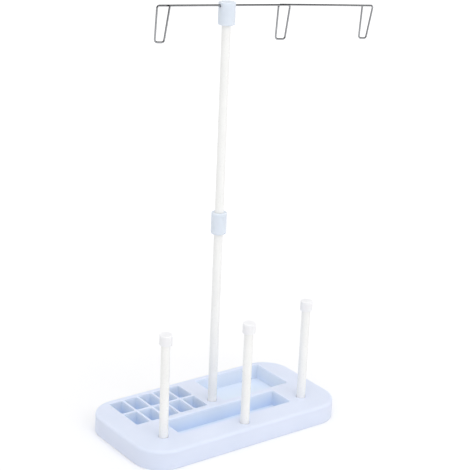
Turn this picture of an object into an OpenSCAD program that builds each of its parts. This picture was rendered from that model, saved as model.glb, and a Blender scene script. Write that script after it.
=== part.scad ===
// Thread rack: a moulded base with bobbin cells and trays, three spool pins with caps,
// and a mast in two sections that carries a bent wire thread guide. Millimetres, +Z up.
// The origin is on the table, at the foot of the mast. The long front side faces -Y.

/* [Base] */
// Length of the base, along X
base_l = 250; // [240:1:300]
// Width of the base, along Y
base_w = 132; // [128:1:170]
// Height of the base
base_h = 21; // [18:0.5:30]
// Radius of the four upright corners
corner_r = 32; // [24:1:36]
// Radius of the soft edge round the top face
edge_r = 3; // [2.5:0.1:3.5]
// Thickness of the skirt, the top face and the walls of the pockets
wall_t = 2; // [1.6:0.1:2.4]
// Thickness of the pocket floors
floor_t = 1.8; // [1.2:0.1:2.5]
// Height of the pocket floors' undersides above the table
floor_lift = 2.2; // [1:0.1:4]
// Thickness of the ribs under the top face
rib_t = 1.4; // [1:0.1:2]
// Height of the ribs' lower edges above the table
rib_lift = 3; // [1:0.5:8]

/* [Bobbin cells] */
// Number of cells along the base
cell_cols = 5; // [3:1:5]
// Number of rows of cells
cell_rows = 2; // [1:1:2]
// Inside width of a cell, along X
cell_w = 15.8; // [12:0.1:17]
// Inside length of a cell, along Y
cell_l = 26.9; // [22:0.1:28]
// Thickness of the dividers between cells
divider_t = 2.5; // [1.6:0.1:3]
// Radius of the cells' inside corners
cell_r = 2; // [0.5:0.1:3]
// Radius of the rounded rims of the cells and trays
rim_r = 1; // [0.3:0.1:1.2]

/* [Trays] */
// Inside length of the wide tray behind, along X
wide_l = 86.5; // [60:0.5:90]
// Inside length of the narrow tray in front, along X
narrow_l = 144; // [100:1:146]
// Inside width of the narrow tray, along Y
narrow_w = 31.2; // [20:0.1:32]
// Strip of top face between the cells and the wide tray, where the mast stands
strip_w = 22.2; // [21:0.1:26]
// From the back of the base to the inside of the cells and the wide tray
rear_margin = 7.5; // [6:0.1:9]
// Strip of top face between the rear row of pockets and the narrow tray
row_gap = 8.5; // [6:0.1:10]
// Radius of the trays' inside corners
tray_r = 2; // [1:0.1:4]

/* [Tubes] */
// Outside diameter of the spool pins and the mast
tube_d = 9.5; // [8:0.1:10]
// Wall of the tubes
tube_t = 0.8; // [0.6:0.1:1.4]
// Radial room round a tube in its socket in the base
socket_gap = 0.3; // [0.1:0.05:0.5]
// Wall of the sockets under the top face
socket_t = 2; // [1.4:0.1:2.6]
// Thickness of the sockets' floors
socket_floor_t = 2; // [1:0.1:4]
// Radius of the rounded mouth of each socket
mouth_r = 0.6; // [0.3:0.1:1]

/* [Spool pins] */
// From each end of the base to the outer pin, along X
outer_pin_end_margin = 35.3; // [33:0.1:40]
// From the front of the base to the outer pins
outer_pin_margin = 32.5; // [30:0.5:36]
// From the front of the base to the middle pin
middle_pin_margin = 14.5; // [14:0.1:16]
// Height of the pins above the top face of the base
pin_up = 110; // [60:0.5:140]
// Outside diameter of the caps
cap_d = 13.2; // [12.5:0.1:16]
// Height of the caps
cap_h = 11; // [8:0.1:14]
// Thickness of the caps' closed tops
cap_top_t = 2.5; // [1.5:0.1:3.5]
// Radius of the edge round the top of each cap
cap_edge_r = 1.1; // [0.4:0.1:1.4]
// Radial room between a cap and its pin
cap_gap = 0.08; // [0.02:0.01:0.15]

/* [Mast] */
// Length of each mast section
pole_l = 220; // [150:1:260]
// From the front of the rear pockets to the mast
mast_setback = 7.5; // [6:0.1:20]
// Height of the joint sleeve
sleeve_h = 23; // [18:0.5:34]
// Outside diameter of the joint sleeve
sleeve_d = 16.2; // [14:0.1:20]
// Thickness of the ledge inside the sleeve, between the two sections
ledge_t = 2; // [1:0.1:4]
// Width of the ledge
ledge_w = 1.6; // [1:0.1:2.4]
// Radial room between the sleeve and the upper section
sleeve_gap = 0.1; // [0.02:0.01:0.2]
// Height of the guide hub
hub_h = 22.7; // [21.5:0.1:34]
// Outside diameter of the guide hub
hub_d = 17.3; // [15:0.1:20]
// Depth of the hub's socket for the upper section
hub_socket_h = 15.5; // [12:0.1:16]
// Radial room between the hub and the upper section, on which it turns
hub_gap = 0.08; // [0.02:0.01:0.1]
// Radius of the outer edges of the sleeve and the hub
ring_edge_r = 1; // [0.4:0.1:1.4]

/* [Wire guide] */
// Diameter of the wire
wire_d = 2; // [1.6:0.1:2.2]
// Diameter of the cross hole through the hub
wire_hole_d = 3.3; // [3.2:0.1:3.6]
// From the top of the hub down to the wire
wire_below_top = 3.6; // [3.2:0.1:4.4]
// Angle at which the wire hangs in its hole, lower on the side of the long arm
wire_tilt = 3.4; // [1:0.1:3.6]
// Inside radius of the wire's bends
wire_bend_r = 1.6; // [1.2:0.1:2]
// Free gap where one stretch of wire crosses another
lap_gap = 0.3; // [0.2:0.05:0.6]
// From the hub to the outer leg of the left loop
left_reach = 81.8; // [60:0.1:110]
// From the hub to the near leg of the middle loop
middle_reach = 66.2; // [40:0.1:90]
// From the hub to the outer leg of the right loop
right_reach = 194.2; // [150:0.1:220]
// Width of the loops at the bar
loop_w = 13; // [12:0.1:22]
// Drop of the loops below the bar
loop_drop = 34.8; // [20:0.1:50]
// How much the left loop closes in at its foot
left_close = 4.1; // [0:0.1:5]
// How much the middle loop closes in at its foot
middle_close = 2.9; // [0:0.1:5]
// How much the right loop closes in at its foot
right_close = 5.1; // [0:0.1:6]
// Sag of the long arm at its far end
arm_sag = 1.6; // [0:0.1:4]
// How much the wire's radius shrinks where it is bent
bend_thinning = 0.01; // [0.005:0.005:0.05]

/* [Hidden] */
$fn = 64;

// How far every cut runs past the face it opens
overrun = 1;
// Share of a divider's thickness that stays flat on its crest, at least
crest_share = 0.15;
// Sides of the bent wire's section, and steps round each of its bends
wire_sides = 12;
bend_steps = 5;

plastic_blue = [0.73, 0.81, 0.95];
plastic_white = [0.93, 0.93, 0.92];
tube_white = [0.90, 0.90, 0.87];
steel = [0.62, 0.63, 0.65];

// Layout of the pockets: cells, strip and wide tray in one rear row. The mast stands at the
// origin, in the middle of the strip.
cells_l = cell_cols * cell_w + (cell_cols - 1) * divider_t;
rear_w = cell_rows * cell_l + (cell_rows - 1) * divider_t;
rear_l = cells_l + strip_w + wide_l;
rear_x = -strip_w / 2 - cells_l;
rear_y = -mast_setback;
wide_x = strip_w / 2;

// The middle of the base: the rear row is centred along it, and the margin sets its back
base_x = rear_x + rear_l / 2;
base_y = rear_y + rear_w + rear_margin - base_w / 2;
narrow_x = base_x - narrow_l / 2;
narrow_y = rear_y - row_gap - narrow_w;
pocket_z = floor_lift + floor_t;
pocket_h = base_h - pocket_z;
cell_rim_r = min(rim_r, divider_t * (1 - crest_share) / 2);

// Places of the tubes on the base
front_y = base_y - base_w / 2;
outer_pin_reach = base_l / 2 - outer_pin_end_margin;
pin_left = [base_x - outer_pin_reach, front_y + outer_pin_margin];
pin_middle = [base_x, front_y + middle_pin_margin];
pin_right = [base_x + outer_pin_reach, front_y + outer_pin_margin];
mast = [0, 0];
socket_d = tube_d + 2 * socket_gap;
socket_out_d = socket_d + 2 * socket_t;

// Heights up the pins and the mast
pin_l = base_h + pin_up - socket_floor_t;
cap_z = base_h + pin_up + cap_top_t - cap_h;
ledge_z = socket_floor_t + pole_l;
sleeve_z = ledge_z + ledge_t / 2 - sleeve_h / 2;
upper_z = ledge_z + ledge_t;
hub_z = upper_z + pole_l - hub_socket_h;
wire_z = hub_z + hub_h - wire_below_top;

// The wire's corners, measured along the bar, across it and up, from the middle of the
// hub's cross hole. Each loop takes the wire one lap across.
lap = wire_d + lap_gap;
bend_r = wire_bend_r + wire_d / 2;
middle_far = middle_reach + loop_w;
left_corners = [
  [-left_reach + loop_w, -lap, wire_d / 2],
  [-left_reach + loop_w - left_close, -lap, -loop_drop],
  [-left_reach, 0, -loop_drop],
  [-left_reach, 0, 0],
  [0, 0, 0]
];
right_corners = [
  [0, 0, 0],
  [middle_far, 0, 0],
  [middle_far - middle_close, 0, -loop_drop],
  [middle_reach, lap, -loop_drop],
  [middle_reach, lap, 0],
  [right_reach, lap, -arm_sag],
  [right_reach - right_close, lap, -arm_sag - loop_drop],
  [right_reach - loop_w, 2 * lap, -arm_sag - loop_drop],
  [right_reach - loop_w, 2 * lap, -arm_sag]
];

// A quarter of a disc, in the first quadrant
module quarter_disc(r) {
  intersection() {
    circle(r);
    square(r);
  }
}

// Half a slab's section: w out from the middle, h high, with a soft upper edge
module slab_section(w, h, edge) {
  if (edge > 0) {
    square([w, h - edge]);
    square([w - edge, h]);
    translate([w - edge, h - edge]) quarter_disc(edge);
  } else {
    square([w, h]);
  }
}

// Half a pocket's section: w out from the middle, h deep, its rim flared into the top face
module pocket_section(w, h, rim) {
  square([w, h + overrun]);
  translate([w, h - rim]) difference() {
    square([rim, rim + overrun]);
    translate([rim, 0]) circle(rim);
  }
}

// A section swept round a rectangle with round corners, with the middle filled to h
module swept_block(l, w, h, r) {
  in_l = l - 2 * r;
  in_w = w - 2 * r;
  translate([-in_l / 2, -in_w / 2, 0]) cube([in_l, in_w, h]);
  for (turn = [0, 180]) rotate(turn) {
    translate([in_l / 2, 0, 0]) rotate([90, 0, 0]) linear_extrude(in_w, center = true) children();
    translate([0, in_w / 2, 0]) rotate([90, 0, 90]) linear_extrude(in_l, center = true) children();
    translate([in_l / 2, in_w / 2, 0]) rotate_extrude(angle = 90) children();
    translate([-in_l / 2, in_w / 2, 0]) rotate(90) rotate_extrude(angle = 90) children();
  }
}

// A slab with round upright corners and a soft top edge, centred on Z, standing on z = 0
module slab(l, w, h, r, edge = 0) {
  swept_block(l, w, h, r) slab_section(r, h, edge);
}

// The outside of a pocket of size l by w at [x, y], hanging from the top face
module pocket_box(x, y, l, w) {
  translate([x - wall_t, y - wall_t, floor_lift])
    cube([l + 2 * wall_t, w + 2 * wall_t, base_h - wall_t - floor_lift]);
}

// The inside of a pocket of size l by w at [x, y], with its rounded rim
module pocket_cut(x, y, l, w, r, rim) {
  translate([x + l / 2, y + w / 2, pocket_z])
    swept_block(l, w, pocket_h + overrun, r) pocket_section(r, pocket_h, rim);
}

// The inside of every bobbin cell
module cell_cuts() {
  for (col = [0:cell_cols - 1], row = [0:cell_rows - 1])
    pocket_cut(rear_x + col * (cell_w + divider_t), rear_y + row * (cell_l + divider_t),
      cell_w, cell_l, cell_r, cell_rim_r);
}

// A rib under the top face, from x0 to x1 at y
module rib_along(x0, x1, y) {
  translate([x0, y - rib_t / 2, rib_lift]) cube([x1 - x0, rib_t, base_h - wall_t - rib_lift]);
}

// A rib under the top face, from y0 to y1 at x
module rib_across(y0, y1, x) {
  translate([x - rib_t / 2, y0, rib_lift]) cube([rib_t, y1 - y0, base_h - wall_t - rib_lift]);
}

// The ribs that tie sockets and pockets to the skirt
module ribs() {
  side = base_l / 2 - wall_t / 2;
  back_y = front_y + base_w - wall_t / 2;
  rear_end = rear_x + rear_l;
  rear_mid_y = rear_y + rear_w / 2;
  narrow_back_y = narrow_y + narrow_w;
  rib_along(base_x - side, narrow_x, pin_left.y);
  rib_along(narrow_x + narrow_l, base_x + side, pin_right.y);
  rib_along(base_x - side, rear_x, rear_mid_y);
  rib_along(rear_end, base_x + side, rear_mid_y);
  rib_along(-strip_w / 2, wide_x, mast.y);
  rib_across(front_y + wall_t / 2, narrow_y, pin_middle.x);
  rib_across(narrow_back_y, back_y, mast.x);
  for (x = [rear_x + cells_l / 2, wide_x + wide_l / 2]) {
    rib_across(narrow_back_y, rear_y, x);
    rib_across(rear_y + rear_w, back_y, x);
  }
}

// The outside of a tube's socket at p
module socket_post(p) {
  translate(p) cylinder(h = base_h - wall_t, d = socket_out_d);
}

// The bore of a tube's socket at p, with a rounded mouth in the top face
module socket_cut(p) {
  translate(p) {
    translate([0, 0, socket_floor_t]) cylinder(h = base_h, d = socket_d);
    translate([0, 0, base_h - mouth_r]) rotate_extrude() difference() {
      square([socket_d / 2 + mouth_r, mouth_r + overrun]);
      translate([socket_d / 2 + mouth_r, 0]) circle(mouth_r);
    }
  }
}

module base() {
  sockets = [pin_left, pin_middle, pin_right, mast];
  color(plastic_blue) difference() {
    union() {
      translate([base_x, base_y, 0]) difference() {
        slab(base_l, base_w, base_h, corner_r, edge_r);
        translate([0, 0, -overrun])
          slab(base_l - 2 * wall_t, base_w - 2 * wall_t, base_h - wall_t + overrun, corner_r - wall_t);
      }
      pocket_box(rear_x, rear_y, cells_l, rear_w);
      pocket_box(wide_x, rear_y, wide_l, rear_w);
      pocket_box(narrow_x, narrow_y, narrow_l, narrow_w);
      ribs();
      for (p = sockets) socket_post(p);
    }
    cell_cuts();
    pocket_cut(wide_x, rear_y, wide_l, rear_w, tray_r, rim_r);
    pocket_cut(narrow_x, narrow_y, narrow_l, narrow_w, tray_r, rim_r);
    for (p = sockets) socket_cut(p);
  }
}

// A length of the tube that the pins and the mast are cut from
module tube(l) {
  color(tube_white) difference() {
    cylinder(h = l, d = tube_d);
    translate([0, 0, -overrun]) cylinder(h = l + 2 * overrun, d = tube_d - 2 * tube_t);
  }
}

module spool_pin(p) {
  translate([p.x, p.y, socket_floor_t]) tube(pin_l);
}

// A flat-topped cap that pushes over the end of a pin
module spool_cap(p) {
  color(plastic_white) translate([p.x, p.y, cap_z]) difference() {
    rotate_extrude() slab_section(cap_d / 2, cap_h, cap_edge_r);
    translate([0, 0, -overrun]) cylinder(h = cap_h - cap_top_t + overrun, d = tube_d + 2 * cap_gap);
  }
}

// Half the section of a short round moulding with both outer edges soft
module ring_section(d, h) {
  translate([0, h / 2]) slab_section(d / 2, h / 2, ring_edge_r);
  translate([0, h / 2]) mirror([0, 1]) slab_section(d / 2, h / 2, ring_edge_r);
}

module lower_pole() {
  translate([0, 0, socket_floor_t]) tube(pole_l);
}

module upper_pole() {
  translate([0, 0, upper_z]) tube(pole_l);
}

// The sleeve grips the lower section's end and takes the upper section on its ledge
module joint_sleeve() {
  color(plastic_blue) difference() {
    translate([0, 0, sleeve_z]) rotate_extrude() ring_section(sleeve_d, sleeve_h);
    translate([0, 0, sleeve_z - overrun]) cylinder(h = ledge_z - sleeve_z + overrun, d = tube_d);
    translate([0, 0, ledge_z - overrun]) cylinder(h = ledge_t + 2 * overrun, d = tube_d - 2 * ledge_w);
    translate([0, 0, upper_z]) cylinder(h = sleeve_h, d = tube_d + 2 * sleeve_gap);
  }
}

// The hub sits over the top of the mast and holds the wire in a loose cross hole
module guide_hub() {
  color(plastic_blue) difference() {
    translate([0, 0, hub_z]) rotate_extrude() ring_section(hub_d, hub_h);
    translate([0, 0, hub_z - overrun]) cylinder(h = hub_socket_h + overrun, d = tube_d + 2 * hub_gap);
    translate([-hub_d / 2 - overrun, 0, wire_z]) rotate([0, 90, 0])
      cylinder(h = hub_d + 2 * overrun, d = wire_hole_d);
  }
}

function unit(v) = v / norm(v);
// Direction of the wire with corners c, from corner i to the next
function heading(c, i) = unit(c[i + 1] - c[i]);
// Angle through which it turns at corner i, and the length that the bend takes off each side
function turn_at(c, i) = acos(heading(c, i - 1) * heading(c, i));
function trim_at(c, i) = bend_r * tan(turn_at(c, i) / 2);
// Direction square to the wire before corner i, on the inside of the bend
function inward_at(c, i) =
  unit(heading(c, i) - (heading(c, i) * heading(c, i - 1)) * heading(c, i - 1));
// The stations of the bend at corner i: each is a point on the wire and its direction there
function bend_stations(c, i) = [
  let (before = heading(c, i - 1), inward = inward_at(c, i))
  let (centre = c[i] - before * trim_at(c, i) + inward * bend_r)
  for (k = [0:bend_steps]) let (a = turn_at(c, i) * k / bend_steps)
    [centre + bend_r * (before * sin(a) - inward * cos(a)), before * cos(a) + inward * sin(a)]
];
// A ring of points round a station, square to the wire, at radius r
function wire_ring(station, r) =
  let (u = unit(cross([0, 1, 0], station[1])), v = cross(station[1], u))
  [for (k = [0:wire_sides - 1]) let (a = 360 * k / wire_sides)
    station[0] + r * (u * cos(a) + v * sin(a))];

// A bent wire of radius r through the stations given
module swept_wire(stations, r) {
  rings = len(stations);
  points = [for (s = stations) each wire_ring(s, r)];
  sides = [for (i = [0:rings - 2], k = [0:wire_sides - 1])
    let (n = (k + 1) % wire_sides, low = i * wire_sides, high = low + wire_sides)
    each [[low + k, high + n, low + n], [low + k, high + k, high + n]]];
  start = [for (k = [0:wire_sides - 1]) k];
  end = [for (k = [wire_sides - 1:-1:0]) (rings - 1) * wire_sides + k];
  polyhedron(points, concat([start], sides, [end]));
}

// The wire: a straight bar that lies in the hub, with bent arms let into both its ends
module guide_wire() {
  last_left = len(left_corners) - 1;
  last_right = len(right_corners) - 1;
  bar_start = -left_reach + trim_at(left_corners, last_left - 1);
  bar_end = middle_far - trim_at(right_corners, 1);
  along = [1, 0, 0];
  left_stations = concat(
    [[left_corners[0], heading(left_corners, 0)]],
    [for (i = [1:last_left - 1]) each bend_stations(left_corners, i)],
    [[[bar_start + wire_d, 0, 0], along]]
  );
  right_stations = concat(
    [[[bar_end - wire_d, 0, 0], along]],
    [for (i = [1:last_right - 1]) each bend_stations(right_corners, i)],
    [[right_corners[last_right], heading(right_corners, last_right - 1)]]
  );
  arm_r = wire_d / 2 - bend_thinning;
  color(steel) translate([0, 0, wire_z]) rotate([0, wire_tilt, 0]) {
    translate([bar_start, 0, 0]) rotate([0, 90, 0]) cylinder(h = bar_end - bar_start, d = wire_d);
    swept_wire(left_stations, arm_r);
    swept_wire(right_stations, arm_r);
  }
}

base();
lower_pole();
joint_sleeve();
upper_pole();
guide_hub();
guide_wire();
spool_pin(pin_left);  // spool_pin_left
spool_pin(pin_middle);  // spool_pin_middle
spool_pin(pin_right);  // spool_pin_right
spool_cap(pin_left);  // spool_cap_left
spool_cap(pin_middle);  // spool_cap_middle
spool_cap(pin_right);  // spool_cap_right
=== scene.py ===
# %% [markdown]
# # A thread rack for the sewing table
#
# A moulded light-blue base carries bobbin cells, two trays, three capped spool pins and a mast in
# two sections. A bent chrome wire hangs in a hub on top of the mast and leads the threads. The
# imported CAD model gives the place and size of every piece, and this lesson dresses it: smooth
# surfaces worked out with numpy, finishes made of shader nodes, soft studio light and the camera.

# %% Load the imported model
import math

import bmesh
import bpy
import numpy as np
from mathutils import Matrix, Vector
from mathutils.geometry import delaunay_2d_cdt


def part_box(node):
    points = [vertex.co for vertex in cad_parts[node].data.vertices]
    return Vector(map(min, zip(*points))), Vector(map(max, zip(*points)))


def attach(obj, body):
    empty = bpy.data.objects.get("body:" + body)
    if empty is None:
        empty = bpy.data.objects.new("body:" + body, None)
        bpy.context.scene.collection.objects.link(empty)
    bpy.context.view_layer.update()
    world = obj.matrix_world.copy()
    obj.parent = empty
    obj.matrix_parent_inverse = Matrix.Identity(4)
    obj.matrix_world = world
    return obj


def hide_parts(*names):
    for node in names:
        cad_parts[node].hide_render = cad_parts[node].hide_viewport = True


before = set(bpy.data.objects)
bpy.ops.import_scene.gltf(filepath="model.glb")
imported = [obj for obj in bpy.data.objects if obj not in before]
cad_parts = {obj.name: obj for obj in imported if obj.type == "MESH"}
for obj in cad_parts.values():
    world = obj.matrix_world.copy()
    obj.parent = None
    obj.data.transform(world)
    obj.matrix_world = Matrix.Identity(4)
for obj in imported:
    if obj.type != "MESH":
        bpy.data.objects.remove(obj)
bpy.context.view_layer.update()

# %% [markdown]
# ## Sizes
#
# The working unit here is the millimetre, in which the rack's sizes are easy to read, and MM turns
# it into Blender's metres. What a node's box tells is read from the imported model. The rest are
# the moulding's own sizes, with the names that the CAD model uses: l, w and h are lengths along X,
# Y and Z, t is a wall and r a radius. The origin is at the foot of the mast, on the table.

# %% Driving sizes of the rack, in millimetres
MM = 0.001


def box_mm(node):
    """Lowest and highest corner of a CAD node, in millimetres."""
    low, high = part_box(node)
    return np.array(low) / MM, np.array(high) / MM


base_low, base_high = box_mm("base")
base_l, base_w, base_h = base_high - base_low
base_mid = (base_low + base_high) / 2
corner_r, edge_r = 32.0, 3.0
wall_t, floor_t, floor_lift = 2.0, 1.8, 2.2
rib_t, rib_lift = 1.4, 3.0

cell_cols, cell_rows = 5, 2
cell_w, cell_l, divider_t, cell_r = 15.8, 26.9, 2.5, 2.0
wide_l, narrow_l, narrow_w, tray_r, rim_r = 86.5, 144.0, 31.2, 2.0, 1.0
strip_w, mast_setback, row_gap = 22.2, 7.5, 8.5

tube_low, tube_high = box_mm("lower_pole")
tube_d = tube_high[0] - tube_low[0]
tube_t, socket_gap, socket_t, socket_floor_t, mouth_r = 0.8, 0.3, 2.0, 2.0, 0.6
pin_names = ["left", "middle", "right"]
pin_places = {n: sum(box_mm(f"spool_pin_{n}"))[:2] / 2 for n in pin_names}
print("base", [round(float(v), 2) for v in (base_l, base_w, base_h)], "tube", round(float(tube_d), 2))

# %% Layout of the pockets
cells_l = cell_cols * cell_w + (cell_cols - 1) * divider_t
rear_w = cell_rows * cell_l + (cell_rows - 1) * divider_t
rear_x, rear_y = -strip_w / 2 - cells_l, -mast_setback
wide_x = strip_w / 2
narrow_x, narrow_y = base_mid[0] - narrow_l / 2, rear_y - row_gap - narrow_w
pocket_z = floor_lift + floor_t
under_z = base_h - wall_t
print("block of cells", round(cells_l, 2), "x", round(rear_w, 2), "mm, depth of the pockets",
      round(float(base_h) - pocket_z, 2), "mm")

# %% [markdown]
# ## Surfaces from arrays
#
# Every new piece below is a grid of points: a profile carried round a closed loop, turned about an
# axis, or carried along a bent path. The points come as whole arrays, and a grid's faces are
# always the same four neighbours, so one helper makes them all. Open edges that meet are then
# merged, and the closed skin's normals are turned outwards.

# %% Helpers that turn arrays into a mesh
MERGE = 0.0005  # in millimetres: points nearer to each other than this become one


def grid_quads(rows, cols, close_rows=False):
    """Faces of a rows by cols grid of points whose rows are rings.

    A face joins the points i, j to i + 1, j to i + 1, j + 1 to i, j + 1. With close_rows, the last
    row is joined to the first too."""
    i = np.arange(rows if close_rows else rows - 1)[:, None]
    j = np.arange(cols)[None, :]
    after_i, after_j = (i + 1) % rows, (j + 1) % cols
    corners = [i * cols + j, after_i * cols + j, after_i * cols + after_j, i * cols + after_j]
    return np.stack(np.broadcast_arrays(*corners), axis=-1).reshape(-1, 4).tolist()


def join_parts(parts):
    """Puts (points, faces) parts into one pair of lists, with each part's faces renumbered."""
    points, faces, start = [], [], 0
    for part_points, part_faces in parts:
        points.append(np.asarray(part_points, float).reshape(-1, 3))
        faces += [[start + k for k in face] for face in part_faces]
        start += len(points[-1])
    return np.concatenate(points), faces


def make_piece(name, parts):
    """A mesh object from (points, faces) parts in millimetres, merged and turned outwards."""
    points, faces = join_parts(parts)
    mesh = bpy.data.meshes.new(name)
    mesh.from_pydata((points * MM).tolist(), [], faces)
    work = bmesh.new()
    work.from_mesh(mesh)
    bmesh.ops.remove_doubles(work, verts=work.verts, dist=MERGE * MM)
    bmesh.ops.recalc_face_normals(work, faces=work.faces)
    open_edges = sum(not e.is_manifold for e in work.edges)
    work.to_mesh(mesh)
    work.free()
    mesh.polygons.foreach_set("use_smooth", np.ones(len(mesh.polygons), bool))
    piece = bpy.data.objects.new(name, mesh)
    bpy.context.scene.collection.objects.link(piece)
    print(name, "faces", len(mesh.polygons), "open edges", open_edges)
    return piece


def arc(cx, cy, r, start, end, steps):
    """Points of an arc about (cx, cy): angles in degrees, evenly spaced, both ends included."""
    a = np.radians(np.linspace(start, end, steps + 1))
    return np.stack([cx + r * np.cos(a), cy + r * np.sin(a)], axis=1)


def line(*points):
    """A short list of points as an array."""
    return np.array(points, float)


# %% [markdown]
# ### Loops
#
# A moulding's wall goes round a loop, which here is a rectangle with round corners or a circle.
# Every loop keeps its outward normals beside its points, so a profile can be carried round it, and
# a flat face can be laid inside it or between it and the loops of the holes.

# %% Loops, bands and plates
CLOSE = 0.15  # a line of points this near a bend keeps the flat beside it flat in the shading


def rounded_loop(x, y, l, w, r, steps):
    """A rectangle with round corners, anticlockwise from its right side: (points, outward normals).

    Each corner is a quarter circle, and a point stands close to each end of it."""
    centres = [(x + l - r, y + w - r), (x + r, y + w - r), (x + r, y + r), (x + l - r, y + r)]
    points, normals = [], []
    for k, (cx, cy) in enumerate(centres):
        unit = arc(0, 0, 1, 90 * k, 90 * k + 90, steps)
        along = np.array([[-unit[0, 1], unit[0, 0]], [unit[-1, 1], -unit[-1, 0]]]) * -CLOSE
        ring = np.array([cx, cy]) + r * unit
        points.append(np.vstack([ring[:1] + along[:1], ring, ring[-1:] + along[1:]]))
        normals.append(np.vstack([unit[:1], unit, unit[-1:]]))
    return np.vstack(points), np.vstack(normals)


def round_loop(x, y, r, steps):
    """A circle, anticlockwise: (points, outward normals)."""
    unit = arc(0, 0, 1, 0, 360, steps)[:-1]
    return np.array([x, y]) + r * unit, unit


def offset(loop, out):
    """The loop's points moved outwards by a distance."""
    return loop[0] + out * loop[1]


def band(loop, profile):
    """A profile of (distance outwards, height) pairs carried round a loop.

    The point i, j is the loop's point j, moved by distance i along its normal, at height i."""
    points, normals = loop
    out, high = profile[:, 0, None, None], profile[:, 1, None, None]
    flat = points[None] + out * normals[None]
    lifted = np.broadcast_to(high, flat.shape[:2] + (1,))
    return np.concatenate([flat, lifted], axis=2), grid_quads(len(profile), len(points))


def disc(loop_points, z):
    """One flat face inside a convex loop."""
    count = len(loop_points)
    return np.column_stack([loop_points, np.full(count, z)]), [list(range(count))]


WITH_HOLES = 2  # the triangulation's output in which loops inside the outer one stay open
SAME_PLACE = 1e-7  # the distance at which the triangulation takes two points for one


def plate(outer, holes, z):
    """A flat face between an outer loop and its holes, as constrained Delaunay triangles."""
    loops = [outer, *holes]
    starts = np.cumsum([0] + [len(p) for p in loops])
    outlines = [list(range(s, s + len(p))) for s, p in zip(starts, loops)]
    flat = [Vector(p) for p in np.vstack(loops)]
    points, _, faces, *_ = delaunay_2d_cdt(flat, [], outlines, WITH_HOLES, SAME_PLACE)
    return np.array([(p[0], p[1], z) for p in points]), faces


# %% [markdown]
# ## The base
#
# The base is one injection moulding: a skin about two millimetres thick with a soft edge round its
# top face, pockets that hang from the top face, four blind sockets for the tubes, and thin ribs
# that tie all of it together underneath. A slab with booleans would give these forms too, but every
# rim would need its own repair. Here each wall is a profile carried round its own loop, with the
# small radius that a mould leaves at every rim and in every floor corner, and flat plates join the
# loops. Seen close, these rims are what catches the light.
#
# A profile lists pairs of a distance outwards from the loop and a height above the table.

# %% Profiles of the walls
foot_r, skirt_foot_r, inner_r = 0.8, 0.5, 1.0
edge_steps, rim_steps, foot_steps, hidden_steps = 10, 6, 5, 4  # straight pieces of each round


def skirt_profile():
    """From the top face over the soft edge, down the outside, round the foot and up the inside."""
    return np.vstack([
        line([-edge_r - CLOSE, base_h]),
        arc(-edge_r, base_h - edge_r, edge_r, 90, 0, edge_steps),
        line([0, base_h - edge_r - CLOSE], [0, skirt_foot_r + CLOSE]),
        arc(-skirt_foot_r, skirt_foot_r, skirt_foot_r, 0, -90, hidden_steps),
        arc(-wall_t + skirt_foot_r, skirt_foot_r, skirt_foot_r, -90, -180, hidden_steps),
        line([-wall_t, skirt_foot_r + CLOSE], [-wall_t, under_z - inner_r - CLOSE]),
        arc(-wall_t - inner_r, under_z - inner_r, inner_r, 0, 90, hidden_steps),
        line([-wall_t - inner_r - CLOSE, under_z]),
    ])


def pocket_profile():
    """From the top face over the rim, down the wall and into the floor."""
    return np.vstack([
        line([rim_r + CLOSE, base_h]),
        arc(rim_r, base_h - rim_r, rim_r, 90, 180, rim_steps),
        line([0, base_h - rim_r - CLOSE], [0, pocket_z + foot_r + CLOSE]),
        arc(-foot_r, pocket_z + foot_r, foot_r, 0, -90, foot_steps),
        line([-foot_r - CLOSE, pocket_z]),
    ])


def hanging_profile(low, foot):
    """From the underside of the top face down the outside of a pocket or socket, round its foot."""
    return np.vstack([
        line([inner_r + CLOSE, under_z]),
        arc(inner_r, under_z - inner_r, inner_r, 90, 180, hidden_steps),
        line([0, under_z - inner_r - CLOSE], [0, low + foot + CLOSE]),
        arc(-foot, low + foot, foot, 0, -90, hidden_steps),
        line([-foot - CLOSE, low]),
    ])


def socket_profile():
    """From the top face over the round mouth and down the bore to its floor."""
    return np.vstack([
        line([mouth_r + CLOSE, base_h]),
        arc(mouth_r, base_h - mouth_r, mouth_r, 90, 180, rim_steps),
        line([0, base_h - mouth_r - CLOSE], [0, socket_floor_t + inner_r]),
        line([-CLOSE, socket_floor_t], [-2 * CLOSE, socket_floor_t]),
    ])


print("points of the profiles:", len(skirt_profile()), len(pocket_profile()), len(socket_profile()))


# %% Lay out the loops of the pockets
def pocket_boxes():
    """Outside of the three boxes that hang from the top face: x, y, length, width."""
    inner = [
        (rear_x, rear_y, cells_l, rear_w),
        (wide_x, rear_y, wide_l, rear_w),
        (narrow_x, narrow_y, narrow_l, narrow_w),
    ]
    return [(x - wall_t, y - wall_t, l + 2 * wall_t, w + 2 * wall_t) for x, y, l, w in inner]


def pocket_loops():
    """The inside of every cell and tray."""
    steps = 6
    loops = [
        rounded_loop(rear_x + c * (cell_w + divider_t), rear_y + r * (cell_l + divider_t), cell_w, cell_l,
                     cell_r, steps)
        for c in range(cell_cols) for r in range(cell_rows)
    ]
    loops.append(rounded_loop(wide_x, rear_y, wide_l, rear_w, tray_r, steps))
    loops.append(rounded_loop(narrow_x, narrow_y, narrow_l, narrow_w, tray_r, steps))
    return loops


print("pockets:", len(pocket_loops()), "in", len(pocket_boxes()), "boxes")


# %% [markdown]
# ### Ribs
#
# Under the top face, thin ribs run from the skirt to the boxes and sockets, as a moulding needs them
# to stay flat and stiff. They are straight walls, so each is one small loop with a profile. Their
# ends reach half a wall into what they meet, and their tops into the skin of the top face.

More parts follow.
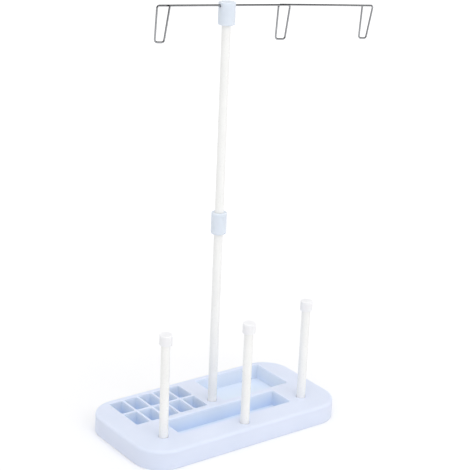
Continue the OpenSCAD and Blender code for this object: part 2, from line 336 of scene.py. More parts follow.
# %% The ribs
def rib(x0, x1, y0, y1):
    """A thin upright wall under the top face, with a soft lower edge and its ends let into walls."""
    soft, steps = rib_t / 4, 2
    top_z = under_z + wall_t / 4
    loop = rounded_loop(x0, y0, x1 - x0, y1 - y0, soft, steps)
    profile = np.vstack([
        line([-soft, rib_lift]),
        arc(-soft, rib_lift + soft, soft, -90, 0, steps),
        line([0, top_z]),
    ])
    return [band(loop, profile), disc(offset(loop, -soft), rib_lift), disc(offset(loop, 0), top_z)]


def rib_boxes():
    """Where the ribs stand that tie pockets and sockets to the skirt: from and to in x, then in y."""
    let_in = wall_t / 2
    side_x = (base_low[0] + let_in, base_high[0] - let_in)
    side_y = (base_low[1] + let_in, base_high[1] - let_in)
    left, middle, right = (pin_places[n] for n in pin_names)
    rear_end, rear_back = wide_x + wide_l, rear_y + rear_w
    mid_y = rear_y + rear_w / 2
    half = rib_t / 2
    along = [
        (side_x[0], narrow_x - let_in, left[1]), (narrow_x + narrow_l + let_in, side_x[1], right[1]),
        (side_x[0], rear_x - let_in, mid_y), (rear_end + let_in, side_x[1], mid_y),
        (-strip_w / 2 + let_in, wide_x - let_in, 0),
    ]
    across = [(side_y[0], narrow_y - let_in, middle[0]), (narrow_y + narrow_w + let_in, side_y[1], 0)]
    for x in (rear_x + cells_l / 2, wide_x + wide_l / 2):
        across += [(narrow_y + narrow_w + let_in, rear_y - let_in, x), (rear_back + let_in, side_y[1], x)]
    boxes = [(x0, x1, y - half, y + half) for x0, x1, y in along]
    return boxes + [(x - half, x + half, y0, y1) for y0, y1, x in across]


print("ribs:", len(rib_boxes()))


# %% Join the skins of the base
def base_parts():
    """All skins of the base: they meet along their loops and close one shell."""
    outline_steps, box_steps, socket_steps = 24, 5, 48
    outline = rounded_loop(base_low[0], base_low[1], base_l, base_w, corner_r, outline_steps)
    pockets = pocket_loops()
    box_r = 2 * wall_t
    boxes = [rounded_loop(*b, box_r, box_steps) for b in pocket_boxes()]
    places = [*pin_places.values(), np.zeros(2)]
    bores = [round_loop(*p, tube_d / 2 + socket_gap, socket_steps) for p in places]
    posts = [round_loop(*p, tube_d / 2 + socket_gap + socket_t, socket_steps) for p in places]

    top_holes = [offset(p, rim_r + CLOSE) for p in pockets] + [offset(b, mouth_r + CLOSE) for b in bores]
    under_holes = [offset(p, inner_r + CLOSE) for p in boxes + posts]
    parts = [
        band(outline, skirt_profile()),
        plate(offset(outline, -edge_r - CLOSE), top_holes, base_h),
        plate(offset(outline, -wall_t - inner_r - CLOSE), under_holes, under_z),
    ]
    for loop in pockets:
        parts += [band(loop, pocket_profile()), disc(offset(loop, -foot_r - CLOSE), pocket_z)]
    for loop in boxes:
        foot = offset(loop, -inner_r - CLOSE)
        parts += [band(loop, hanging_profile(floor_lift, inner_r)), disc(foot, floor_lift)]
    for loop in bores:
        parts += [band(loop, socket_profile()), disc(offset(loop, -2 * CLOSE), socket_floor_t)]
    for loop in posts:
        foot = offset(loop, -skirt_foot_r - CLOSE)
        parts += [band(loop, hanging_profile(0, skirt_foot_r)), disc(foot, 0)]
    for x0, x1, y0, y1 in rib_boxes():
        parts += rib(x0, x1, y0, y1)
    return parts


base_shell = make_piece("base_shell", base_parts())

# %% [markdown]
# ### Marks for the painted light and shade in the pockets
#
# In the pockets, light and shade are painted into the colour: a lighter blue on every point below a
# rim, as painted light, and a darker grey-blue that grows towards the foot of each wall and lies on
# the floors, as painted shade. The base is one moulding and so one material, and an area of it can
# be given a tint with a painted mask or with numbers kept on the points. The points know where they
# are, so two numbers are worked out here: "inside" picks the pockets, and the other tells how strong
# the painted shade is.

# %% Mark the painted light and shade in the pockets
# How strong the painted shade is in each kind of pocket: at the foot of its walls, and over its floor.
cell_shade_shares, wide_shade_shares, narrow_shade_shares = (0.5, 0.45), (0.25, 0.25), (0.6, 0.35)


def mark_painted_pocket_shade(piece):
    """Marks where light and shade are painted in the pockets: "inside" is 1 on every point of a cell or
    tray below its rim, 0 elsewhere.

    The painted shade grows evenly from 0 at the rim to a pocket's first share at the foot of its wall,
    and is its second share all over its floor."""
    shares = [cell_shade_shares] * (cell_cols * cell_rows) + [wide_shade_shares, narrow_shade_shares]
    slack = 0.01
    mesh = piece.data
    flat = np.empty(3 * len(mesh.vertices))
    mesh.vertices.foreach_get("co", flat)
    x, y, z = flat.reshape(-1, 3).T / MM
    inside, deep = np.zeros(len(x), bool), np.zeros(len(x))
    for (loop, _), (foot_share, floor_share) in zip(pocket_loops(), shares):
        low, high = loop.min(axis=0) - slack, loop.max(axis=0) + slack
        here = (x > low[0]) & (x < high[0]) & (y > low[1]) & (y < high[1])
        inside |= here
        share = foot_share * (base_h - z) / (base_h - pocket_z)
        deep[here] = np.where(z < pocket_z + slack, floor_share, share)[here]
    inside &= (z > pocket_z - slack) & (z < base_h - rim_r / 2)
    # Two point attributes: where the pockets' light is painted, and how strong the painted shade is.
    for name, values in (("inside", inside), ("deep", deep * inside)):
        mark = mesh.attributes.new(name, "FLOAT", "POINT")
        mark.data.foreach_set("value", values.astype(np.float32))
    print("points inside the pockets:", int(inside.sum()))


mark_painted_pocket_shade(base_shell)
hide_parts("base")
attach(base_shell, "base")

# %% [markdown]
# ## Tubes, caps, sleeve and hub
#
# All of these are turned forms, so each is one profile of radius and height turned about its axis.
# A tube is a cut length, so its ends get a fine chamfer. A cap is a moulded cup with a soft edge
# round its flat top. The sleeve holds both mast sections on a ledge inside.

# %% A turned form
def turned(profile, x, y, steps=64, closed=True):
    """A profile of (radius, height) pairs turned about an upright axis at (x, y).

    The point i, j is x + r cos a, y + r sin a, z, with radius and height i and angle j. A closed
    profile goes round the wall of a ring; an open one ends on the axis or where another joins it."""
    a = np.radians(np.arange(steps) * 360 / steps)
    r, z = profile[:, 0, None], profile[:, 1, None]
    rows = [x + r * np.cos(a), y + r * np.sin(a), np.broadcast_to(z, (len(profile), steps))]
    return np.stack(rows, axis=2), grid_quads(len(profile), steps, close_rows=closed)


def dress(piece, node, body):
    """The piece stands for a CAD node, whose part it hides, and rides on its body."""
    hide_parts(node)
    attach(piece, body)
    return piece


# %% The tubes of the pins and the mast
def tube_profile(low, high, r, t):
    """A tube's wall: up the outside, over the upper end, down the bore and under the lower end."""
    inner, chamfer, rings = r - t, 0.15, 9
    near = 2 * CLOSE + chamfer
    return np.vstack([
        line([r - chamfer, low], [r, low + chamfer], [r, low + near]),
        np.column_stack([np.full(rings, r), np.linspace(low, high, rings + 2)[1:-1]]),
        line([r, high - near], [r, high - chamfer], [r - chamfer, high]),
        line([inner + chamfer, high], [inner, high - chamfer], [inner, high - near]),
        line([inner, low + near], [inner, low + chamfer], [inner + chamfer, low]),
    ])


tubes = {}
tube_bodies = {"lower_pole": "lower_mast", "upper_pole": "upper_mast"}
tube_bodies.update({f"spool_pin_{n}": f"spool_pin_{n}" for n in pin_names})
for node, body in tube_bodies.items():
    low, high = box_mm(node)
    middle = (low + high) / 2
    profile = tube_profile(low[2], high[2], tube_d / 2, tube_t)
    part = turned(profile, middle[0], middle[1])
    tubes[node] = dress(make_piece(node + "_tube", [part]), node, body)

# %% [markdown]
# ### Caps
#
# A cap is pushed over each pin's upper end, so that no spool catches on the cut tube. Its profile
# is open and ends on the axis twice, at the top face and at the roof of the bore, so the turned
# skin closes without a lid.

# %% The caps
cap_top_t, cap_edge_r, cap_gap = 2.5, 1.1, 0.08


def cap_profile(low, high, r):
    """A cup, open below: over the top and its soft edge, down the side, round the lip and up inside."""
    lip, cap_edge_steps, lip_steps = 0.3, 8, 3
    bore = tube_d / 2 + cap_gap
    roof = high - cap_top_t
    return np.vstack([
        line([0, high], [(r - cap_edge_r) / 2, high], [r - cap_edge_r - CLOSE, high]),
        arc(r - cap_edge_r, high - cap_edge_r, cap_edge_r, 90, 0, cap_edge_steps),
        line([r, high - cap_edge_r - CLOSE], [r, low + lip + CLOSE]),
        arc(r - lip, low + lip, lip, 0, -90, lip_steps),
        line([bore + lip, low]),
        arc(bore + lip, low + lip, lip, -90, -180, lip_steps)[1:],
        line([bore, low + lip + CLOSE], [bore, roof - CLOSE], [bore, roof], [bore - CLOSE, roof], [0, roof]),
    ])


caps = {}
for n in pin_names:
    low, high = box_mm(f"spool_cap_{n}")
    part = turned(cap_profile(low[2], high[2], (high[0] - low[0]) / 2), *pin_places[n], closed=False)
    node = f"spool_cap_{n}"
    caps[n] = dress(make_piece(node + "_moulding", [part]), node, node)

# %% [markdown]
# ### Joint sleeve
#
# The sleeve is a short ring that stays on the lower section. The upper section drops into it and
# stands on the ledge. One closed profile goes up the outside and comes down the stepped bore.

# %% The joint sleeve
ring_edge_r, ring_edge_steps = 1.0, 7
sleeve_gap, ledge_t, ledge_w = 0.1, 2.0, 1.6


def soft_side(low, high, r):
    """The outside of a short moulding, from its lower face to its upper one, both edges soft."""
    e = ring_edge_r
    return np.vstack([
        line([r - e - CLOSE, low]),
        arc(r - e, low + e, e, -90, 0, ring_edge_steps),
        line([r, low + e + CLOSE], [r, high - e - CLOSE]),
        arc(r - e, high - e, e, 0, 90, ring_edge_steps),
        line([r - e - CLOSE, high]),
    ])


low, high = box_mm("joint_sleeve")
ledge_z = box_mm("lower_pole")[1][2]
upper_z = ledge_z + ledge_t
upper_r, lower_r, ledge_r = tube_d / 2 + sleeve_gap, tube_d / 2, tube_d / 2 - ledge_w
sleeve_profile = np.vstack([
    soft_side(low[2], high[2], (high[0] - low[0]) / 2),
    line([upper_r + CLOSE, high[2]], [upper_r, high[2]], [upper_r, high[2] - CLOSE]),
    line([upper_r, upper_z], [ledge_r, upper_z], [ledge_r, ledge_z], [lower_r, ledge_z]),
    line([lower_r, low[2] + CLOSE], [lower_r, low[2]], [lower_r + CLOSE, low[2]]),
])
sleeve = dress(make_piece("joint_sleeve_moulding", [turned(sleeve_profile, 0, 0)]), "joint_sleeve",
               "lower_mast")

# %% [markdown]
# ## The hub and its cross hole
#
# The hub turns on the upper section's end, and a loose hole crosses it for the wire. Turning alone
# can't make that hole, and a boolean would leave long faces that shade badly on a round side. So
# the side is a grid in which a square of cells is left out at each mouth. A patch fills the
# square: its points run from the square's edge to the rim of the hole, which is the circle of the
# bore wrapped onto the cylinder.

# %% The hub's side with two mouths, and the bore between them
hub_socket_h, hub_gap, wire_hole_d, wire_below_top = 15.5, 0.08, 3.3, 3.6
hub_low, hub_high = box_mm("guide_hub")
hub_r = (hub_high[0] - hub_low[0]) / 2
wire_z = hub_high[2] - wire_below_top
HUB_STEPS, PATCH = 96, 4  # columns round the hub, and half the columns of a patch
PATCH_ROWS, ROWS_BELOW = 6, 11  # rows from a patch's square to its hole, and under the square


def wrapped(s, z):
    """Arc length s round the hub's side, and height z, as a place on the side."""
    turn, z = np.broadcast_arrays(s / hub_r, z)
    return np.stack([hub_r * np.cos(turn), hub_r * np.sin(turn), z], axis=-1)


def mouth_patch(side):
    """The skin between a square of the side's grid and the hole's rim, with a softened rim.

    side is 1 for the mouth at +X and -1 for the one at -X. A row runs round the square, and the
    rows close in on the hole along straight lines on the unrolled side."""
    step = 2 * math.pi * hub_r / HUB_STEPS
    k = np.arange(-PATCH, PATCH) / PATCH
    one = np.ones_like(k)
    square = np.concatenate([np.stack(p, 1) for p in [(one, k), (-k, one), (-one, -k), (k, -one)]])
    square *= PATCH * step
    angle = np.arctan2(square[:, 1], square[:, 0])
    soft, bore_r = 0.2, wire_hole_d / 2
    ring_r = bore_r + soft
    across, up = ring_r * np.cos(angle), ring_r * np.sin(angle)
    ring = np.stack([hub_r * np.arcsin(across / hub_r), up], axis=1)
    t = np.linspace(0, 1, PATCH_ROWS)[:, None, None]
    flat = square * (1 - t) + ring * t
    rows = wrapped(flat[..., 0], wire_z + flat[..., 1])
    lip_angle = np.radians([30, 60, 90])[:, None]
    lip_r = ring_r - soft * np.sin(lip_angle)
    y, z = lip_r * np.cos(angle), lip_r * np.sin(angle)
    x = np.sqrt(hub_r ** 2 - ring_r ** 2 * np.cos(angle) ** 2) - soft * (1 - np.cos(lip_angle))
    rows = np.concatenate([rows, np.stack([x, y, wire_z + z], axis=-1)])
    rows[..., :2] *= side
    return rows


def hub_parts():
    """Side, mouths, bore, ends and socket of the hub."""
    step = 2 * math.pi * hub_r / HUB_STEPS
    floor_z, top_z, e = hub_low[2], hub_high[2], ring_edge_r
    z_patch = wire_z + step * np.arange(-PATCH, PATCH + 1)
    z_below = np.linspace(floor_z + e, z_patch[0], ROWS_BELOW + 1)[:-1]
    heights = np.concatenate([z_below, z_patch])
    a = np.arange(HUB_STEPS)
    side = wrapped(a * step, heights[:, None])
    quads = np.array(grid_quads(len(heights), HUB_STEPS))
    row, col = quads[:, 0] // HUB_STEPS, quads[:, 0] % HUB_STEPS
    near = (col + PATCH) % (HUB_STEPS // 2) < 2 * PATCH
    kept = quads[~(near & (row >= len(z_below)))]
    low_edge = np.vstack([
        line([hub_r - e - CLOSE, floor_z]),
        arc(hub_r - e, floor_z + e, e, -90, 0, ring_edge_steps),
    ])
    high_edge = np.vstack([
        line([hub_r, z_patch[-1]]),
        arc(hub_r - e, top_z - e, e, 0, 90, ring_edge_steps),
        line([hub_r - e - CLOSE, top_z], [hub_r / 2, top_z], [0, top_z]),
    ])
    bore, roof = tube_d / 2 + hub_gap, floor_z + hub_socket_h
    socket = line(
        [hub_r - e - CLOSE, floor_z], [bore + e / 2 + CLOSE, floor_z], [bore + e / 2, floor_z],
        [bore, floor_z + e / 2], [bore, floor_z + e / 2 + CLOSE],
        [bore, roof - CLOSE], [bore, roof], [bore - CLOSE, roof], [0, roof],
    )
    mouths = [mouth_patch(1), mouth_patch(-1)]
    count = mouths[0].shape[1]
    tunnel = np.stack([mouths[0][-1], mouths[0][-1] * [-1, 1, 1]])
    return [
        (side, kept.tolist()),
        *[turned(profile, 0, 0, HUB_STEPS, closed=False) for profile in (low_edge, high_edge, socket)],
        *[(m, grid_quads(len(m), count)) for m in mouths],
        (tunnel, grid_quads(2, count)),
    ]


hub = dress(make_piece("guide_hub_moulding", hub_parts()), "guide_hub", "guide_hub")

# %% [markdown]
# ## The wire guide
#
# The guide is one length of hard wire, bent cold: straight stretches with a small round bend at
# every corner. A curve object with a bevel could draw it, but the bends would depend on handles set
# by eye. Here the corners are a short list of places, each bend is the arc that touches both
# straights, and a circle is carried along the path.

# %% Corners and bends of the wire
wire_d, wire_bend_r, lap_gap = 2.0, 1.6, 0.3
wire_tilt = 3.4
left_reach, middle_reach, right_reach = 81.8, 66.2, 194.2
loop_w, loop_drop, arm_sag = 13.0, 34.8, 1.6
left_close, middle_close, right_close = 4.1, 2.9, 5.1
lap = wire_d + lap_gap
middle_far = middle_reach + loop_w

wire_corners = line(
    [-left_reach + loop_w, -lap, wire_d / 2],
    [-left_reach + loop_w - left_close, -lap, -loop_drop],
    [-left_reach, 0, -loop_drop],
    [-left_reach, 0, 0],
    [middle_far, 0, 0],
    [middle_far - middle_close, 0, -loop_drop],
    [middle_reach, lap, -loop_drop],
    [middle_reach, lap, 0],
    [right_reach, lap, -arm_sag],
    [right_reach - right_close, lap, -arm_sag - loop_drop],
    [right_reach - loop_w, 2 * lap, -arm_sag - loop_drop],
    [right_reach - loop_w, 2 * lap, -arm_sag],
)


def unit(v):
    """The vector with length one."""
    return v / np.linalg.norm(v)


def bend(before, corner, after, r, steps):
    """The arc of radius r that touches the straights on both sides of a corner: points, directions."""
    go, leave = unit(corner - before), unit(after - corner)
    turn = math.acos(np.clip(go @ leave, -1, 1))
    inward = unit(leave - (leave @ go) * go)
    centre = corner - go * r * math.tan(turn / 2) + inward * r
    a = np.linspace(0, turn, steps + 1)[:, None]
    return centre + r * (go * np.sin(a) - inward * np.cos(a)), go * np.cos(a) + inward * np.sin(a)


def wire_path(corners, r, steps):
    """Stations along the bent wire: where the wire is, and which way it runs there."""
    places, ways = [corners[:1]], [unit(corners[1] - corners[0])[None]]
    for before, corner, after in zip(corners, corners[1:], corners[2:]):
        arc_places, arc_ways = bend(before, corner, after, r, steps)
        places.append(arc_places)
        ways.append(arc_ways)
    places.append(corners[-1:])
    ways.append(unit(corners[-1] - corners[-2])[None])
    return np.vstack(places), np.vstack(ways)


def round_ends(places, ways, r, steps=5):
    """Adds the rounding of a cut end at both ends of the path: (places, ways, radii)."""
    a = np.radians(np.linspace(0, 90, steps + 1))[:-1]
    soft = r / 2
    shrink = r - soft + soft * np.cos(a)
    back = (soft - soft * np.sin(a))[:, None]
    first, last = places[0] + ways[0] * back[::-1], places[-1] - ways[-1] * back
    all_places = np.vstack([first, places[1:-1], last])
    all_ways = np.vstack([np.repeat(ways[:1], steps, 0), ways[1:-1], np.repeat(ways[-1:], steps, 0)])
    return all_places, all_ways, np.concatenate([shrink[::-1], np.full(len(places) - 2, r), shrink])


def carried_circle(places, ways, radii, sides):
    """A circle carried along a path: at each station it lies square to the way, and Y fixes its turn.

    With u and v square to the way, the point i, j is place i + radius i (u cos a + v sin a)."""
    u = np.cross([0.0, 1.0, 0.0], ways)
    u /= np.linalg.norm(u, axis=1)[:, None]
    v = np.cross(ways, u)
    a = np.radians(np.arange(sides) * 360 / sides)[None, :, None]
    ring = u[:, None] * np.cos(a) + v[:, None] * np.sin(a)
    return places[:, None] + radii[:, None, None] * ring


# %% Build the wire
def wire_parts():
    """The skin of the wire and its two end faces, tilted as it hangs in the hub."""
    sides, bend_steps = 20, 10
    places, ways = wire_path(wire_corners, wire_bend_r + wire_d / 2, bend_steps)
    rings = carried_circle(*round_ends(places, ways, wire_d / 2), sides)
    tilt = np.array(Matrix.Rotation(math.radians(wire_tilt), 3, "Y"))
    points = (rings.reshape(-1, 3) @ tilt.T + [0, 0, wire_z]).reshape(rings.shape)
    skin = points, grid_quads(len(points), sides)
    ends = [(points[k], [list(range(sides))]) for k in (0, -1)]
    return [skin, *ends]


wire = dress(make_piece("guide_wire_bent", wire_parts()), "guide_wire", "guide_wire")
length = np.linalg.norm(np.diff(wire_corners, axis=0), axis=1).sum()
print("the wire is cut about", round(float(length)), "mm long")

# %% [markdown]
# ## Finishes
#
# Three kinds of finish cover the rack: moulded plastic, lacquered tube and plated wire. Pictures
# could give them their detail, but a picture has a size and a seam. Noise worked out by nodes has
# neither, and it reads Object coordinates here, so it stays with its piece in every pose.

# %% Node helpers
COLOUR_SPREAD, VALUE_SPREAD = (0.35, 0.65), (0.3, 0.7)  # most of a noise texture lies within these


def srgb(r, g, b):
    """A colour given as it looks, 0 to 255, as the linear colour that shaders use."""
    c = np.array([r, g, b]) / 255
    return (*np.where(c <= 0.04045, c / 12.92, ((c + 0.055) / 1.055) ** 2.4), 1.0)


def new_material(name):
    """An empty node material: (material, nodes, a function that links sockets, its surface shader)."""
    material = bpy.data.materials.new(name)
    material.use_nodes = True
    nodes, links = material.node_tree.nodes, material.node_tree.links
    shader = nodes["Principled BSDF"]
    return material, nodes, links.new, shader


def noise_on_object(nodes, link, scale, detail):
    """The value of a noise texture in object space, with about scale spots to a metre."""
    place = nodes.new("ShaderNodeTexCoord")
    noise = nodes.new("ShaderNodeTexNoise")
    noise.inputs["Scale"].default_value = scale
    noise.inputs["Detail"].default_value = detail
    noise.inputs["Roughness"].default_value = 0.5
    link(place.outputs["Object"], noise.inputs["Vector"])
    return noise.outputs["Fac"]


def colour_between(nodes, link, factor, low, high, spread=COLOUR_SPREAD):
    """A colour that runs from low to high as the factor runs across the spread."""
    ramp = nodes.new("ShaderNodeValToRGB")
    ramp.color_ramp.elements[0].position, ramp.color_ramp.elements[1].position = spread
    ramp.color_ramp.elements[0].color, ramp.color_ramp.elements[1].color = low, high
    link(factor, ramp.inputs["Fac"])
    return ramp.outputs["Color"]


def value_between(nodes, link, factor, low, high, spread=VALUE_SPREAD):
    """A number that runs from low to high as the factor runs across the spread."""
    span = nodes.new("ShaderNodeMapRange")
    span.inputs["From Min"].default_value, span.inputs["From Max"].default_value = spread
    span.inputs["To Min"].default_value, span.inputs["To Max"].default_value = low, high
    link(factor, span.inputs["Value"])
    return span.outputs["Result"]


def bump(nodes, link, height, depth_mm):
    """A bump whose height is given in millimetres."""
    node = nodes.new("ShaderNodeBump")
    node.inputs["Strength"].default_value = 1.0
    node.inputs["Distance"].default_value = depth_mm * MM
    link(height, node.inputs["Height"])
    return node.outputs["Normal"]


def finish_with(material, *pieces):
    """Makes a material the only one of some pieces."""
    for piece in pieces:
        piece.data.materials.clear()
        piece.data.materials.append(material)
    print(material.name, "on", [piece.name for piece in pieces])


# %% [markdown]
# ### Moulded plastic
#
# The base is a pale blue plastic with a satin skin: its colour clouds very slightly, as moulded
# colour does, its gloss is a little uneven, and a fine grain breaks it up. Some light soaks into
# such plastic and comes out beside the place where it went in, which softens the small edges.
# Inside the pockets the colour follows the two marks on the points: a painted light below the rims,
# and a painted shade towards the feet of the walls and on the floors. The sleeve and the hub are the
# same plastic in a slightly greyer blue. The caps are a cooler white than the tubes, with a little
# more gloss than the base.

# %% The plastics
def marked_mix(nodes, link, mark_name, colour, marked):
    """A colour that turns into another where the piece's point attribute of that name is 1."""
    mark = nodes.new("ShaderNodeAttribute")
    mark.attribute_name = mark_name
    pick = nodes.new("ShaderNodeMix")
    pick.data_type = "RGBA"
    link(mark.outputs["Fac"], pick.inputs["Factor"])
    for value, socket in ((colour, pick.inputs[6]), (marked, pick.inputs[7])):
        if isinstance(value, tuple):
            socket.default_value = value
        else:
            link(value, socket)
    return pick.outputs[2]


def satin_plastic(name, low, high, rough=(0.38, 0.5), grain_mm=0.45, depth_mm=0.012, inside=None):
    """Moulded plastic: clouded colour, uneven gloss, a fine eroded grain, and light that soaks in.

    With two colours for the pockets, a painted light and a painted shade, points marked "inside" take the
    first and run towards the second as the painted shade grows."""
    material, nodes, link, shader = new_material(name)
    cloud = noise_on_object(nodes, link, scale=28, detail=3)
    colour = colour_between(nodes, link, cloud, low, high)
    # In the pockets a painted light and a painted shade lie over the plastic's own colour.
    if inside:
        colour = marked_mix(nodes, link, "inside", colour, marked_mix(nodes, link, "deep", *inside))
    link(colour, shader.inputs["Base Color"])
    haze = noise_on_object(nodes, link, scale=160, detail=4)
    link(value_between(nodes, link, haze, *rough), shader.inputs["Roughness"])
    grain = noise_on_object(nodes, link, scale=1 / (grain_mm * MM), detail=2)
    link(bump(nodes, link, grain, depth_mm), shader.inputs["Normal"])
    shader.inputs["IOR"].default_value = 1.49
    shader.inputs["Specular IOR Level"].default_value = 0.3
    shader.inputs["Subsurface Weight"].default_value = 0.4
    shader.inputs["Subsurface Radius"].default_value = (1.0, 1.0, 1.0)
    shader.inputs["Subsurface Scale"].default_value = 3 * MM
    return material


# The pockets' two colours: a lighter blue as painted light, and a grey-blue as painted shade.
blue_plastic = satin_plastic("blue_plastic", srgb(223, 231, 253), srgb(226, 233, 255),
                             inside=(srgb(234, 242, 255), srgb(188, 211, 247)))
blue_rings = satin_plastic("blue_plastic_rings", srgb(223, 231, 241), srgb(226, 233, 243))
white_plastic = satin_plastic("white_plastic", srgb(244, 244, 247), srgb(247, 247, 249),
                              rough=(0.3, 0.4), grain_mm=0.6, depth_mm=0.008)
finish_with(blue_plastic, base_shell)
finish_with(blue_rings, sleeve, hub)
finish_with(white_plastic, *caps.values())


# %% [markdown]
# ### Lacquered tube and plated wire
#
# The tubes are sprayed with a warm white lacquer, whose coat has a faint waviness like the skin of
# an orange. The wire is drawn steel under bright plating: a metal takes its looks from what it
# mirrors, so its own marks hardly show. In both finishes one noise drives the gloss and the bump,
# because on the real piece the same unevenness makes both.

# %% The lacquer and the plating
def lacquered_tube(name, low, high, rough=(0.26, 0.36), depth_mm=0.01):
    """Sprayed lacquer: an even colour over a faint orange-peel surface."""
    material, nodes, link, shader = new_material(name)
    cloud = noise_on_object(nodes, link, scale=45, detail=2)
    link(colour_between(nodes, link, cloud, low, high), shader.inputs["Base Color"])
    peel = noise_on_object(nodes, link, scale=700, detail=1)
    link(value_between(nodes, link, peel, *rough), shader.inputs["Roughness"])
    link(bump(nodes, link, peel, depth_mm), shader.inputs["Normal"])
    shader.inputs["IOR"].default_value = 1.5
    return material


def plated_wire(name, low, high, rough=(0.06, 0.14), depth_mm=0.002):
    """Bright plating over drawn wire: metal whose tone and gloss vary with fine marks."""
    material, nodes, link, shader = new_material(name)
    marks = noise_on_object(nodes, link, scale=900, detail=3)
    link(colour_between(nodes, link, marks, low, high), shader.inputs["Base Color"])
    link(value_between(nodes, link, marks, *rough), shader.inputs["Roughness"])
    link(bump(nodes, link, marks, depth_mm), shader.inputs["Normal"])
    shader.inputs["Metallic"].default_value = 1.0
    return material


white_lacquer = lacquered_tube("white_lacquer", srgb(244, 244, 242), srgb(247, 247, 245))
bright_wire = plated_wire("bright_wire", srgb(149, 150, 152), srgb(161, 162, 164))
finish_with(white_lacquer, *tubes.values())
finish_with(bright_wire, wire)

# %% [markdown]
# ## Studio
#
# The rack stands on a plain pale floor in a white studio. More lamps could make the floor white,
# but they would wash out the rack as well. So the floor gives off some white of its own, which only
# the camera and reflections see. Near the rack it is weaker, and the soft shadow at the foot of the
# base stays in the picture.

# %% The floor
def mix_of(nodes, link, factor, first, second):
    """A shader that is the first where the factor is 0 and the second where it is 1."""
    pick = nodes.new("ShaderNodeMixShader")
    link(factor, pick.inputs["Fac"])
    link(first, pick.inputs[1])
    link(second, pick.inputs[2])
    return pick.outputs["Shader"]


def seen_directly(nodes, link):
    """1 for rays from the camera and for those that a mirror or clear glass sends on, else 0."""
    rays = nodes.new("ShaderNodeLightPath")
    seen = rays.outputs["Is Camera Ray"]
    for kind in ("Is Glossy Ray", "Is Transmission Ray"):
        either = nodes.new("ShaderNodeMath")
        either.operation = "MAXIMUM"
        link(seen, either.inputs[0])
        link(rays.outputs[kind], either.inputs[1])
        seen = either.outputs["Value"]
    return seen


def white_when_seen(nodes, link, shader_out, near, far):
    """Adds a white glow to a shader: the camera and reflections see it, and it lights nothing else.

    near and far are each a distance from the foot of the mast, in metres, and the glow there."""
    place, distance = nodes.new("ShaderNodeTexCoord"), nodes.new("ShaderNodeVectorMath")
    distance.operation = "LENGTH"
    link(place.outputs["Object"], distance.inputs[0])
    (near_at, near_glow), (far_at, far_glow) = near, far
    strength = value_between(nodes, link, distance.outputs["Value"], near_glow, far_glow, (near_at, far_at))
    glow, black = nodes.new("ShaderNodeEmission"), nodes.new("ShaderNodeEmission")
    link(strength, glow.inputs["Strength"])
    black.inputs["Strength"].default_value = 0.0
    seen = seen_directly(nodes, link)
    total = nodes.new("ShaderNodeAddShader")
    link(shader_out, total.inputs[0])
    link(mix_of(nodes, link, seen, black.outputs["Emission"], glow.outputs["Emission"]), total.inputs[1])
    return total.outputs["Shader"]


def floor():
    """A wide flat sheet under the rack."""
    half = 4000.0
    corners = line([-half, -half, 0], [half, -half, 0], [half, half, 0], [-half, half, 0])
    piece = make_piece("studio_floor", [(corners, [[0, 1, 2, 3]])])
    material, nodes, link, shader = new_material("studio_floor")
    shade = noise_on_object(nodes, link, scale=3, detail=2)
    low, high = srgb(238, 238, 239), srgb(240, 240, 241)
    link(colour_between(nodes, link, shade, low, high), shader.inputs["Base Color"])
    shader.inputs["Roughness"].default_value = 0.9
    shader.inputs["Specular IOR Level"].default_value = 0.1
    white = white_when_seen(nodes, link, shader.outputs["BSDF"], near=(0.15, 0.09), far=(1.2, 0.4))
    link(white, nodes["Material Output"].inputs["Surface"])
    finish_with(material, piece)


floor()

# %% [markdown]
# ### The room
#
# The room is the world's background, and it looks different to different rays. As light it is an
# even white, which fills all shadows softly. The camera sees plain white. Reflections see white
# round about and a dark ceiling, because the wire is bright metal: its upper half has to mirror
# something dark, or it would vanish against the white.

# %% The white surroundings
WHITE = (1, 1, 1, 1)


def background(nodes, strength):
    """A plain white background of a strength."""
    node = nodes.new("ShaderNodeBackground")
    node.inputs["Color"].default_value = WHITE
    node.inputs["Strength"].default_value = strength
    return node


def surroundings(level, mirror_level, overhead, ceiling_from):
    """A white room: even light, plain white for the camera, and a dim ceiling in reflections.

    The ceiling sets in where the rise of a ray of length one reaches the first value of
    ceiling_from, and is full at the second."""
    world = bpy.data.worlds.new("studio")
    bpy.context.scene.world = world
    world.use_nodes = True
    nodes, link = world.node_tree.nodes, world.node_tree.links.new
    nodes.remove(nodes["Background"])
    sky, mirror, seen = (background(nodes, strength) for strength in (level, mirror_level, 1.0))
    rays = nodes.new("ShaderNodeLightPath")
    way = nodes.new("ShaderNodeTexCoord")
    split = nodes.new("ShaderNodeSeparateXYZ")
    link(way.outputs["Generated"], split.inputs["Vector"])
    dark = (overhead, overhead, overhead, 1)
    ceiling = colour_between(nodes, link, split.outputs["Z"], WHITE, dark, spread=ceiling_from)
    link(ceiling, mirror.inputs["Color"])
    lit = mix_of(nodes, link, rays.outputs["Is Glossy Ray"], sky.outputs["Background"],
                 mirror.outputs["Background"])
    room = mix_of(nodes, link, rays.outputs["Is Camera Ray"], lit, seen.outputs["Background"])
    link(room, nodes["World Output"].inputs["Surface"])
    print("world", world.name, "made of", len(nodes), "nodes")


surroundings(level=0.77, mirror_level=0.9, overhead=0.02, ceiling_from=(0.1, 0.3))

# %% [markdown]
# ### Lamps
#
# Large lamps give shadows soft edges, as the soft boxes of a studio do. A lamp in front and one
# above do most of the work. The one at the left is weaker, so that side stays a little darker,
# which gives the tubes their roundness. Only the front lamp shows in reflections, as one gleam.

# %% The lamps
LAMP_AIM = (0, 0, 200)


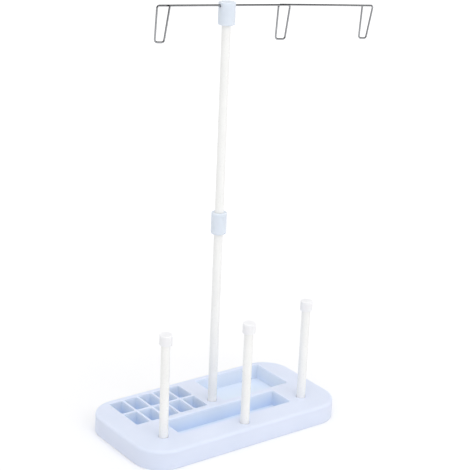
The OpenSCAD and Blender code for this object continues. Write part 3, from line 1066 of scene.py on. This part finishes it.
def soft_lamp(name, place, size, power, mirrored=True):
    """A square lamp at a place in millimetres, turned towards the rack; mirrors may leave it out."""
    lamp = bpy.data.lights.new(name, "AREA")
    lamp.size, lamp.energy = size * MM, power
    rig = bpy.data.objects.new(name, lamp)
    rig.location = Vector(place) * MM
    rig.rotation_euler = (Vector(LAMP_AIM) * MM - rig.location).to_track_quat("-Z", "Y").to_euler()
    rig.visible_glossy = mirrored
    bpy.context.scene.collection.objects.link(rig)
    print("lamp", name, "of", power, "W", "seen in mirrors" if mirrored else "left out of mirrors")


soft_lamp("key_front", place=(300, -2400, 1900), size=1500, power=14)
soft_lamp("window", place=(-1500, -1700, 2700), size=2100, power=9.6, mirrored=False)
soft_lamp("overhead", place=(0, 0, 3000), size=1500, power=16.5, mirrored=False)

# %% [markdown]
# ## The camera
#
# The photograph looks down on the rack from the front left. The place and the turn of the camera
# were fitted to the corners of the base, the tubes and the wire, so the numbers here are a real
# place in the room, in millimetres, and angles in degrees.

# %% Place the camera
camera_place = (-781.7, -1072.6, 665.1)
camera_yaw, camera_pitch, camera_roll = 36.83, 18.92, 2.435
focal_px, image_px, sensor_mm = 1353.3, 470, 36.0

yaw, pitch, roll = (math.radians(a) for a in (camera_yaw, camera_pitch, camera_roll))
forward = Vector((math.sin(yaw) * math.cos(pitch), math.cos(yaw) * math.cos(pitch), -math.sin(pitch)))
level = Vector((math.cos(yaw), -math.sin(yaw), 0))
upward = level.cross(forward)
right = level * math.cos(roll) + upward * math.sin(roll)
above = upward * math.cos(roll) - level * math.sin(roll)
lens = bpy.data.cameras.new("camera")
lens.sensor_width = sensor_mm
lens.lens = focal_px / image_px * sensor_mm
camera = bpy.data.objects.new("camera", lens)
turn = Matrix((right, above, -forward)).transposed()
camera.matrix_world = Matrix.Translation(Vector(camera_place) * MM) @ turn.to_4x4()
bpy.context.scene.collection.objects.link(camera)
bpy.context.scene.camera = camera
bpy.context.scene.view_settings.view_transform = "Standard"
print("lens", round(lens.lens, 2), "mm")
